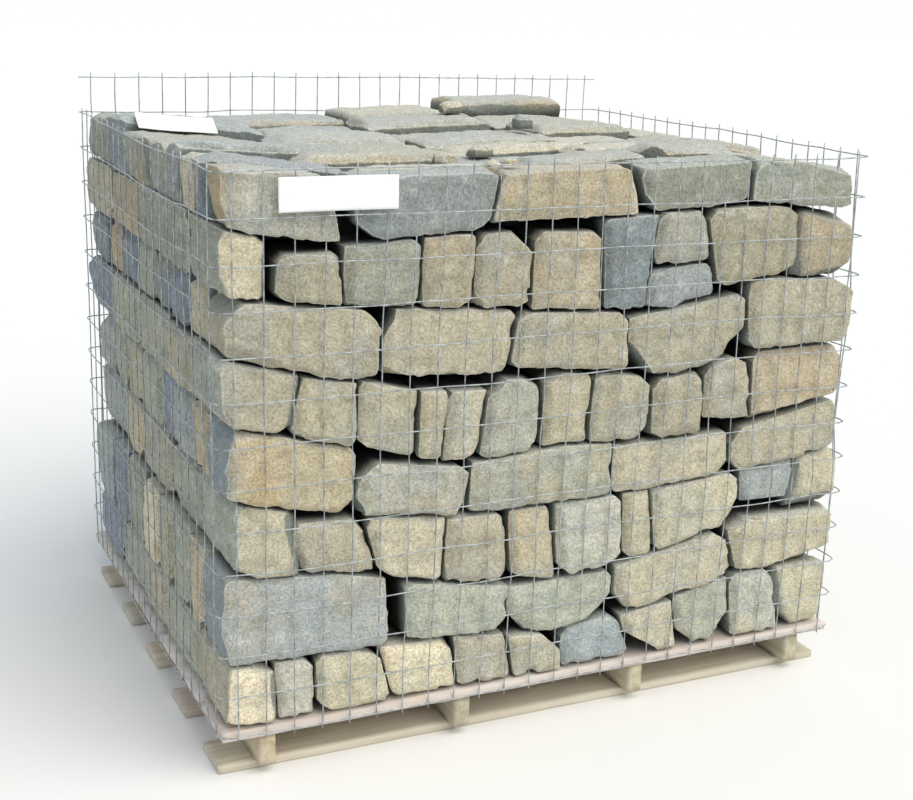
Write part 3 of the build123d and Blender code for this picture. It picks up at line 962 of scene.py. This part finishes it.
    def dressed_stone(
        self, island: Island, sides: list[Array], rng: np.random.Generator
    ) -> tuple[Array, Array, dict[str, Array]]:
        """One stone, worked as a tube that runs back from the outline of its first shown side.

        The grid's four corners are put at the outline's own corners and its rim at the arris, so
        the arrises run along grid lines and stay sharp. Roughness and lost flakes are read at the
        smooth stone's surface, and then the rim, the walls and the cap are worked again with them.

        Args:
            island: The solid that the stone stands for.
            sides: Directions in which the stone shows.
            rng: Source of the random numbers.

        Returns:
            Points, quads and the points' attributes.
        """
        lead = sides[0]
        upward = np.eye(3)[1] if lead[2] > 0.5 else np.eye(3)[2]
        axes = np.stack([np.cross(upward, lead), upward, lead])
        middle = island.corners.mean(axis=0)
        size = np.ptp((island.corners - middle) @ axes.T, axis=0)
        small = min(1.0, float(size.min()) / self.small_stone)
        normals, offsets = self.planes(island, sides, rng)
        sheets = Sheets(normals @ axes.T, offsets - normals @ middle)
        plain = any(side[1] > 0.5 or side[0] > 0.5 for side in sides) and lead[2] < 0.5 and lead[1] > -0.5
        step = self.plain_step if plain else self.step
        lines = [tuple(2 * place - 1 for place in rimmed_lines(size[k], step, self.rim)) for k in range(2)]
        kept = [depth for depth in self.joint_depths if depth < 0.7 * size[2]]
        depths = (0.0, *(depth / size[2] for depth in kept), 1.0)
        if len(sides) > 1:
            depths = rimmed_lines(size[2], step, self.rim)
        grid, quads = capped_tube(*lines, depths)

        share = np.abs(grid[:, :2]).max(axis=1)
        on_rim = grid[:, :2] / np.maximum(share, 1e-9)[:, None]
        on_rim[share < 1e-9] = (1.0, 0.0)
        a, b = (on_rim[:, :1] + 1) / 2, (on_rim[:, 1:] + 1) / 2
        corner = sheets.corners(size[:2] / 2)
        chord = (corner[0] * (1 - a) + corner[1] * a) * (1 - b) + (corner[3] * (1 - a) + corner[2] * a) * b
        direction = chord / np.linalg.norm(chord, axis=1, keepdims=True)
        walls = grid[:, 2] > 0
        back = -(((island.corners - middle) @ lead).min())
        still = np.zeros((len(grid), len(offsets)))
        shift = rng.uniform(0, 3, 3)

        def world(spot: Array, height: Array) -> Array:
            """Places in the shared frame."""
            return middle + np.column_stack([spot, height]) @ axes

        def surface(sink: Array, rim: Array) -> tuple[Array, Array, Array]:
            """Spots and heights of the points with every side sunk, and how far their walls lean."""
            height = rim - grid[:, 2] * (rim + back)
            outline, leaning = sheets.outline(direction, height, sink)
            reach = np.where(walls, outline, distance * share)
            reach[-1] = 0.0
            spot = direction * reach[:, None]
            return spot, np.where(walls, height, sheets.cap(spot, sink)), leaning

        distance, rim = sheets.rim(direction, still)
        at_rim = world(direction * distance[:, None], rim) + shift
        flake = np.clip((NOISE(at_rim + 4.0, self.spall_wave) - 0.22) / 0.5, 0, 1) * self.spall_depth * small
        spot, height, _ = surface(still, rim)
        inward = (1 - np.abs(grid[:, :2])).min(axis=1) * size[:2].min() / 2
        from_rim = np.where(walls, 2.0 * (rim - height), inward)
        fade = np.clip(1 - from_rim / self.spall_reach, 0, 1)
        sink = self.sinks(normals, sides, world(spot, height) + shift, flake * fade)
        distance, rim = sheets.rim(direction, self.sinks(normals, sides, at_rim, flake))
        spot, height, leaning = surface(sink, rim)
        places = world(spot, height)
        # deep: how far a point lies behind the arris, which the material turns into painted shade.
        deep = np.where(walls & (leaning < 0.25), np.maximum(rim - height, 0), 0.0)
        for side in sides[1:]:
            facing = normals @ side > 0.8
            room = (offsets[facing] - places @ normals[facing].T) / (normals[facing] @ side)
            deep = np.minimum(deep, np.maximum(room.min(axis=1) - self.spall_depth, 0))
        # edge: the pale arris band, partly wear and partly a painted highlight.
        edge = np.exp(-np.maximum(from_rim, 0) / self.worn_and_highlit_edge)
        return places, quads, {"edge": edge, "deep": np.clip(deep / self.dark_depth, 0, 1)}

    def paint(self, tone: StoneTone, count: int, rng: np.random.Generator) -> Array:
        """A stone's colour, a little lighter or darker than its tone; alpha is its iron stain.

        Args:
            tone: The stone's tone.
            count: Number of points.
            rng: Source of the random numbers.

        Returns:
            Linear colours, shape (count, 4).
        """
        colour = np.array(srgb(tone.value))
        # self.light is the course's painted light; the random factors give the stone its own tone.
        colour[:3] *= self.light * rng.uniform(0.90, 1.08) * rng.uniform(0.99, 1.01, 3)
        colour[3] = rng.uniform(0.3, 0.65) if tone in (O, R) else rng.uniform(0.0, 0.35)
        return np.tile(colour, (count, 1))

    def colours(
        self, places: Array, deep: Array, island: Island, front: int, end: int, rng: np.random.Generator
    ) -> Array:
        """Colours of one stone's points.

        The tone is chosen by the stone's place on the front or the left end and drawn by lot
        elsewhere. A corner stone changes from one to the other where the distance from its front
        passes that from its end. Inner stones of the open top are grey above and warm at the sides.

        Args:
            places: The stone's points.
            deep: How far behind an arris each of them is.
            island: The solid.
            front: Number of the stone on the front from the left, or -1.
            end: Number of the stone on the left end from the front, or -1.
            rng: Source of the random numbers.

        Returns:
            Linear colours, shape (n, 4).
        """
        odds = np.array(self.odds)
        drawn = list(StoneTone)[rng.choice(len(odds), p=odds / odds.sum())]
        front_tone = self.front_tones[front] if 0 <= front < len(self.front_tones) else None
        end_tone = self.end_tones[end] if 0 <= end < len(self.end_tones) else None
        count = len(places)
        if self.open_above and front_tone is None and end_tone is None:
            above = self.paint(self.tones_above[rng.integers(6)], count, rng)
            around = self.paint(self.tones_around[rng.integers(6)], count, rng)
            share = np.clip(deep / 0.02, 0, 1)[:, None]
            return (1 - share) * above + share * around
        if front_tone is None or end_tone is None:
            colour = self.paint(front_tone or end_tone or drawn, count, rng)
            # Painted shade on stones of the left end.
            colour[:, :3] *= 1.0 if end_tone is None else self.end_light
            return colour
        from_front, from_end = places[:, 1] - island.low[1], places[:, 0] - island.low[0]
        share = np.clip((from_front - from_end) / self.tone_change + 0.5, 0, 1)[:, None]
        # The end part of a corner stone gets the same painted shade.
        around = self.paint(end_tone, count, rng) * self.end_light
        return (1 - share) * self.paint(front_tone, count, rng) + share * around

    def build(self, frame: dict, load: tuple[Array, Array], material: Material) -> None:
        """Makes the course and lets it stand for its node.

        Args:
            frame: The loaded frame.
            load: Lowest and highest corner of the whole load.
            material: The stone's material.
        """
        islands = islands_of(frame["nodes"][self.node])
        at_front = [i for i, island in enumerate(islands) if island.low[1] - load[0][1] < self.front_skin]
        at_front.sort(key=lambda i: islands[i].centre[0] + 0.2 * islands[i].centre[2])
        at_end = [i for i, island in enumerate(islands) if island.low[0] - load[0][0] < self.skin]
        at_end.sort(key=lambda i: islands[i].centre[1])
        heap = Heap()
        for index, island in enumerate(islands):
            spot = np.round(island.centre * 1000).astype(int) + 5000
            rng = np.random.default_rng([self.seed, *spot])
            places, quads, marks = self.dressed_stone(island, self.shown_sides(island, load), rng)
            front = at_front.index(index) if index in at_front else -1
            end = at_end.index(index) if index in at_end else -1
            tone = self.colours(places, marks["deep"], island, front, end, rng)
            shift = np.tile(rng.uniform(0, 9, 3), (len(places), 1))
            heap.put(places, quads, tone=tone, shift=shift, **marks)
        log.info("%s: %d stones", self.node, len(islands))
        hand_over(heap.piece(f"{self.node}_stones"), self.node, material)


@dataclass
class MeshWrap:
    """Welded wire round the four sides of the load, bent round its corners."""

    wire_radius: float = 0.00125
    corner_radius: float = 0.014
    sides_of_wire: int = 6
    step: float = 0.0125
    upright_pitch: float = 0.052
    level_pitch: float = 0.075
    stub: float = 0.010
    upright_gap: float = 0.0006
    level_gap: float = 0.0004
    sway: float = 0.0080
    slack: float = 0.006
    lean_heights: tuple[float, ...] = (0.44, 0.52, 0.64, 0.77, 0.90, 1.05, 1.18)
    leans: tuple[float, ...] = (0.0, 0.012, 0.010, 0.007, 0.014, 0.020, 0.021)

    def plan(self, along: Array, half: Array) -> tuple[Array, Array, Array]:
        """Rounded rectangle in plan, followed counter-clockwise from the middle of the front.

        Each side is a straight run and an arc; on an arc the outward direction turns evenly with
        the length.

        Args:
            along: Lengths along the rectangle, in metres.
            half: Half its size along X and Y.

        Returns:
            Places, outward directions and directions along it, each of shape (n, 3).
        """
        radius = self.corner_radius
        arc = radius * math.pi / 2
        runs = [2 * (half[0] - radius), 2 * (half[1] - radius)] * 2
        places = np.zeros((len(along), 3))
        outward = np.zeros((len(along), 3))
        travelled = (along + runs[0] / 2) % (sum(runs) + 4 * arc)
        start = 0.0
        for side, quarter in enumerate(((1, -1), (1, 1), (-1, 1), (-1, -1))):
            turn = side * math.pi / 2 - math.pi / 2
            direction = np.array([math.cos(turn + math.pi / 2), math.sin(turn + math.pi / 2)])
            facing = np.array([math.cos(turn), math.sin(turn)])
            pivot = half * quarter - radius * (facing + direction)
            on_run = (travelled >= start) & (travelled < start + runs[side])
            left = (travelled[on_run] - start - runs[side])[:, None]
            places[on_run, :2] = pivot + facing * radius + direction * left
            outward[on_run, :2] = facing
            start += runs[side]
            on_arc = (travelled >= start) & (travelled < start + arc)
            angle = turn + (travelled[on_arc] - start) / radius
            spoke = np.column_stack([np.cos(angle), np.sin(angle)])
            places[on_arc, :2] = pivot + radius * spoke
            outward[on_arc, :2] = spoke
            start += arc
        return places, outward, np.column_stack([-outward[:, 1], outward[:, 0], np.zeros(len(along))])

    def hang(self, along: Array, height: Array, stand_off: float, half: Array) -> tuple[Array, Array, Array]:
        """Places of wire on the sheet, which sways in its own plane and stands off unevenly.

        Towards the right end it leans in over the stones, which are set back there.

        Args:
            along: Lengths round the load.
            height: Heights over the floor.
            stand_off: Distance of the wire's middle from the stones' outer face.
            half: Half the load's size along X and Y.

        Returns:
            Places, outward directions and directions along the sheet, each of shape (n, 3).
        """
        places, outward, forward = self.plan(along, half)
        places[:, 2] = height
        field_point = places + 3.0
        shift = NOISE.layered(field_point, 0.31, 3) * self.sway
        lift = NOISE.layered(field_point + 5.0, 0.27, 3) * self.sway
        loose = np.clip(NOISE.layered(field_point + 9.0, 0.24, 2) + 0.15, 0, 1) * self.slack
        rightward = np.clip(places[:, 0] / half[0], 0, 1) ** 3
        corner = np.clip(np.abs(places[:, 0] / half[0] * places[:, 1] / half[1]), 0, 1) ** 6
        places += forward * shift[:, None]
        places += outward * (stand_off + loose * (1 - np.maximum(0.8 * rightward, corner)))[:, None]
        places[:, 0] -= rightward * np.interp(height, self.lean_heights, self.leans)
        places[:, 2] += lift
        return places, outward, forward

    def tubes(self, paths: Array, first: Array, second: Array) -> tuple[Array, Array]:
        """Round wires along paths: a circle carried along each, closed at both ends.

        Args:
            paths: Points of the wires, shape (wires, points, 3).
            first: One direction across each wire, shape (wires, points, 3).
            second: The other direction across, shape (wires, points, 3).

        Returns:
            Points and quads.
        """
        wires, count, _ = paths.shape
        sides = self.sides_of_wire
        angles = (np.arange(sides) * 2 * math.pi / sides)[:, None]
        ring = first[:, :, None] * np.cos(angles) + second[:, :, None] * np.sin(angles)
        points = paths[:, :, None] + ring * self.wire_radius
        numbers = np.arange(wires * count * sides).reshape(wires, count, sides)
        after = np.roll(numbers, -1, axis=2)
        around = np.stack([numbers[:, :-1], after[:, :-1], after[:, 1:], numbers[:, 1:]], axis=-1)
        cap = np.array([[k, sides - 1 - k, sides - 2 - k, k + 1] for k in range(sides // 2 - 1)])
        ends = [numbers[:, 0][:, cap], numbers[:, -1][:, cap[:, ::-1]]]
        return points.reshape(-1, 3), np.concatenate([part.reshape(-1, 4) for part in (around, *ends)])

    def panel(self, node: str, start: float, finish: float, uprights: Array, half: Array) -> Thing:
        """One side of the wrap.

        Args:
            node: Name of the sheet's node.
            start: Where the side starts, as a length round the load.
            finish: Where it ends.
            uprights: Lengths round the load at which uprights stand.
            half: Half the load's size along X and Y.

        Returns:
            The side's object.
        """
        low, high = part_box(node)
        heights = np.linspace(low[2], high[2], int(round((high[2] - low[2]) / self.step)))
        levels = np.arange(low[2] + self.stub, high[2] - self.stub / 2, self.level_pitch)
        lengths = np.linspace(start, finish, int(round((finish - start) / self.step)))
        heap = Heap()
        for along, height, stand_off, level in (
            (uprights[:, None], heights[None], self.wire_radius + self.upright_gap, False),
            (lengths[None], levels[:, None], 3 * self.wire_radius + self.level_gap, True),
        ):
            along, height = np.broadcast_arrays(along, height)
            flat, outward, forward = self.hang(along.ravel(), height.ravel(), stand_off, half)
            upward = np.tile((0.0, 0.0, 1.0), (len(flat), 1))
            wire = (flat, outward, upward) if level else (flat, forward, outward)
            heap.put(*self.tubes(*(part.reshape(*along.shape, 3) for part in wire)))
        return heap.piece(f"{node}_wires")

    def build(self, material: Material) -> None:
        """Makes the four sides.

        Args:
            material: The wire's material.
        """
        low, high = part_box("deck_boards")
        half = np.array([(high[0] - low[0]) / 2, (high[1] - low[1]) / 2])
        arc = self.corner_radius * math.pi / 2
        long_run, short_run = (2 * (reach - self.corner_radius) for reach in half)
        spans = {"mesh_front": long_run, "mesh_right": short_run, "mesh_back": long_run, "mesh_left": short_run}
        start = -long_run / 2 - arc / 2
        for node, run in spans.items():
            length = run + arc
            cells = round(length / self.upright_pitch)
            share = (np.arange(cells) + 0.5) / cells
            piece = self.panel(node, start, start + length, start + share * length, half)
            hand_over(piece, node, material)
            start += length


@dataclass
class Timber:
    """Sawn pieces of one node, each a board or a stringer."""

    node: str
    slot: str
    seed: int
    edge: float = 0.0022
    bow: float = 0.0016
    step: float = 0.012

    def board(self, island: Island, rng: np.random.Generator) -> tuple[Array, Array, Array]:
        """One sawn piece: a box with worn edges that is a little bowed and hollowed.

        A point of the box's grid is pulled in to a smaller box and pushed back out by the radius of
        the edge. The piece then bows by the square of its place along it, and rough noise sinks it.

        Args:
            island: The solid that the piece stands for.
            rng: Source of the random numbers.

        Returns:
            Points, quads and each point's place along and across the grain.
        """
        size = island.high - island.low
        half = size / 2
        length_axis = int(np.argmax(size))
        grid, quads = block_grid(*even_lines(size, self.step, 4, 110))
        box = grid * half
        core = np.clip(box, -(half - self.edge), half - self.edge)
        away = box - core
        outward = away / np.maximum(np.linalg.norm(away, axis=1, keepdims=True), 1e-9)
        places = core + outward * self.edge
        along = places[:, length_axis] / half[length_axis]
        lost = places + rng.uniform(0, 4, 3)
        stretched = lost.copy()
        stretched[:, length_axis] *= 0.12
        sink = 0.0008 * (1 + NOISE.layered(stretched, 0.012, 3)) + 0.0007 * (1 + NOISE(lost, 0.05))
        places -= outward * sink[:, None]
        if length_axis == 0:
            places[:, int(np.argmin(size))] -= self.bow * rng.uniform(0.2, 1.0) * (1 - along ** 2) * 0.3
        places += island.centre
        order = [length_axis, *(axis for axis in range(3) if axis != length_axis)]
        return places, quads, (places - island.centre)[:, order] + rng.uniform(0, 5, 3)

    def build(self, frame: dict, material: Material) -> None:
        """Makes the pieces, each of its own tint, and lets them stand for their node.

        Args:
            frame: The loaded frame.
            material: The timber's material.
        """
        heap = Heap()
        for number, island in enumerate(islands_of(frame["nodes"][self.node])):
            rng = np.random.default_rng([self.seed, number])
            places, quads, grain = self.board(island, rng)
            tint = (*(rng.uniform(0.84, 1.1) * rng.uniform(0.97, 1.03, 3)), 1.0)
            heap.put(places, quads, tint=np.tile(tint, (len(places), 1)), grain=grain)
        hand_over(heap.piece(f"{self.node}_sawn"), self.node, material)


@dataclass
class TallyCard:
    """A plain white card, slightly curled."""

    node: str
    curl: float
    proud: float = 0.0
    ripple: float = 0.0012
    step: float = 0.005

    def build(self, frame: dict, material: Material) -> None:
        """Makes the card and lets it stand for its node.

        The card's three directions are those of its solid's flat sides. A grid over it is lifted
        outwards by how proud it stands, the square of the place along its length and smooth noise.

        Args:
            frame: The loaded frame.
            material: The card's material.
        """
        card = islands_of(frame["nodes"][self.node])[0]
        outward = card.normals[(card.normals @ np.array([0.0, -1.0, 1.0])) > 0]
        extent = np.array([np.ptp(card.corners @ normal) for normal in outward])
        normal = outward[extent.argmin()]
        along = np.cross(normal, (0.0, 1.0, 0.0) if abs(normal[2]) > 0.7 else (0.0, 0.0, -1.0))
        along /= np.linalg.norm(along)
        axes = np.stack([along, np.cross(normal, along), normal])
        size = np.ptp(card.corners @ axes.T, axis=0)
        grid, quads = block_grid(*even_lines(size, self.step, 1, 60))
        flat = grid * size / 2
        wave = NOISE.layered(flat * np.array([1.0, 1.0, 0.0]) + 2.0, 0.07, 2)
        flat[:, 2] += self.proud + self.curl * grid[:, 0] ** 2 + self.ripple * (1 + wave)
        piece = make_piece(f"{self.node}_plain", card.corners.mean(axis=0) + flat @ axes, quads)
        hand_over(piece, self.node, material)


@dataclass
class Studio:
    """Camera, lamp, world and floor."""

    focal_pixels: float = 1455.0
    camera_place: tuple[float, float, float] = (-1.269, -2.724, 1.350)
    pan: float = math.radians(25.44)
    tilt: float = math.radians(15.86)
    roll: float = math.radians(1.84)
    sun_strength: float = 2.4
    sun_height: float = math.radians(52.0)
    sun_heading: float = math.radians(28.0)
    sun_spread: float = math.radians(60.0)
    sun_colour: Colour = srgb("fff8ee")
    sky_strength: float = 0.68
    sky_colour: Colour = srgb("dfe9f5")
    floor_half: float = 40.0
    floor_colour: Colour = srgb("f4f4f2")

    def camera(self) -> None:
        """Sets the camera at the photograph's viewpoint.

        The camera looks along a direction panned to the right of +Y and tilted down, and is rolled
        about that direction.
        """
        forward = np.array([
            math.sin(self.pan) * math.cos(self.tilt),
            math.cos(self.pan) * math.cos(self.tilt),
            -math.sin(self.tilt),
        ])
        level = np.array([math.cos(self.pan), -math.sin(self.pan), 0.0])
        above = np.cross(level, forward)
        right = math.cos(self.roll) * level + math.sin(self.roll) * above
        up = -math.sin(self.roll) * level + math.cos(self.roll) * above
        data = bpy.data.cameras.new("camera")
        data.sensor_fit = "HORIZONTAL"
        data.sensor_width = SENSOR_WIDTH
        data.lens = self.focal_pixels / PICTURE_WIDTH * SENSOR_WIDTH
        camera = bpy.data.objects.new("camera", data)
        matrix = camera.matrix_world.copy()
        for row in range(3):
            matrix[row] = (right[row], up[row], -forward[row], self.camera_place[row])
        camera.matrix_world = matrix
        bpy.context.scene.collection.objects.link(camera)
        bpy.context.scene.camera = camera

    def sun(self) -> None:
        """One soft sun lamp, from high over the front and a little to the right."""
        data = bpy.data.lights.new("key", "SUN")
        data.energy = self.sun_strength
        data.angle = self.sun_spread
        data.color = self.sun_colour[:3]
        lamp = bpy.data.objects.new("key", data)
        lamp.rotation_euler = (math.radians(90.0) - self.sun_height, 0.0, self.sun_heading)
        bpy.context.scene.collection.objects.link(lamp)

    def world(self) -> None:
        """Even sky light, and plain white where the camera or a reflection sees past the floor."""
        world = bpy.data.worlds.new("sky")
        bpy.context.scene.world = world
        bench = NodeBench(world)
        rays = bench.node("LightPath").outputs
        seen = bench.maths("MAXIMUM", rays["Is Camera Ray"], rays["Is Glossy Ray"])
        seen = bench.maths("MAXIMUM", seen, rays["Is Transmission Ray"])
        dim = bench.node("Background", None, {"Color": self.sky_colour, "Strength": self.sky_strength})
        white = bench.node("Background", None, {"Color": (1.0, 1.0, 1.0, 1.0), "Strength": 1.0})
        mixed = bench.node("MixShader", None, {0: seen, 1: dim.outputs[0], 2: white.outputs[0]})
        bench.node("OutputWorld", None, {"Surface": mixed.outputs[0]})

    def floor(self) -> None:
        """A plain pale floor at height 0."""
        corners = np.array([(*quarter, 0.0) for quarter in QUARTERS]) * self.floor_half
        floor = make_piece("floor", corners, np.array([[0, 1, 2, 3]]))
        bench = NodeBench(bpy.data.materials.new("pale_floor"))
        floor.data.materials.append(bench.finish(self.floor_colour, 0.95, specular=0.0))
        floor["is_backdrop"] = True

    def build(self) -> None:
        """Sets up everything that isn't the object."""
        self.camera()
        self.world()
        self.sun()
        self.floor()
        bpy.context.scene.view_settings.view_transform = "Standard"


FRONT_TONES = {
    1: (C, A, B, C, K, K, S, K, G, A, B),
    2: (L, G, G, K, B),
    3: (K, K, B, K, B, A, K, B, L, B),
    4: (O, A, G, B, K),
    5: (K, B, K, K, B, A, B, B, K, B, O),
    6: (K, B, B, K, K),
    7: (C, K, G, B, B, O, S, L, A, K, O),
    8: (A, L, O, G, G),
}

END_TONES = {
    1: (K, G, B, G, N),
    2: (S, O, G, K, C, G, N, L),
    3: (G, G, K, O, L),
    4: (S, O, L, N, G, B, G, L),
    5: (G, K, G, G, N),
    6: (K, B, N, S, G, N, O, S),
    7: (G, G, O, B),
    8: (O, N, C, L, G, K, S, G),
}

OPEN_TOP = {"step": 0.0065, "facets": 5, "facet_depth": 0.009, "facet_tilt": 0.30, "spall_depth": 0.0035}
CHIPS = {"step": 0.004, "corner_loss": 0.012, "facets": 6, "facet_depth": 0.009, "facet_tilt": 0.6}
# Painted light: each course's colours are scaled by a factor that falls by LIGHT_FALL a course upwards, so lower
# courses are painted lighter.
LOWEST_LIGHT = 1.28
LIGHT_FALL = 0.057


def main() -> None:
    """Builds the studio, the load and the pallet in order, and reports each piece."""
    logging.basicConfig(level=logging.INFO, format="%(name)s %(message)s")
    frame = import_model()
    cad_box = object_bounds()
    Studio().build()
    stone = SplitStoneFinish().material()
    boxes = [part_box(f"course_{number}") for number in FRONT_TONES]
    load = (np.min([low for low, high in boxes], axis=0), np.max([high for low, high in boxes], axis=0))
    for number, tones in FRONT_TONES.items():
        light = LOWEST_LIGHT - LIGHT_FALL * (number - 1)
        extras = OPEN_TOP if number == 8 else {}
        StoneCourse(number, tones, END_TONES[number], 100 + number, light=light, **extras).build(frame, load, stone)
    StoneCourse(0, (), (), 100, **CHIPS).build(frame, load, stone)
    core = frame["nodes"]["core"]
    core.data.materials.clear()
    core.data.materials.append(HiddenStoneFinish().material())
    MeshWrap().build(GalvanisedWireFinish().material())
    # Deck timber: pale pinkish grey, lifted to near white partly as painted light against the shade that the stones
    # cast over the deck.
    deck = SawnTimberFinish("deck_timber", srgb("f1ebdf"), srgb("d6cdbf"), srgb("e9e4dc")).material()
    base = SawnTimberFinish("base_timber", srgb("cfc5ab"), srgb("ac9f82"), srgb("bab4a4")).material()
    # Bottom boards: the stringers' timber painted lighter, as painted light for daylight thrown up from the ground
    # into the shade under the deck.
    lit_bottom_timber = SawnTimberFinish("bottom_timber_painted_light", srgb("e2d8c3"), srgb("c6bba3"), srgb("d5cebf")).material()
    Timber("deck_boards", "deck_timber", 31).build(frame, deck)
    Timber("bottom_boards", "base_board_timber", 41).build(frame, lit_bottom_timber)
    for number in range(1, 5):
        Timber(f"stringer_{number}", "stringer_timber", 50 + number).build(frame, base)
    card = CardFinish().material()
    TallyCard("front_card", 0.003, proud=0.005).build(frame, card)
    TallyCard("top_card", 0.002).build(frame, card)
    boxes = {"cad": [list(corner) for corner in cad_box], "visual": [list(corner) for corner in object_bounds()]}
    log.info("boxes %s", boxes)


if __name__ == "__main__":
    main()
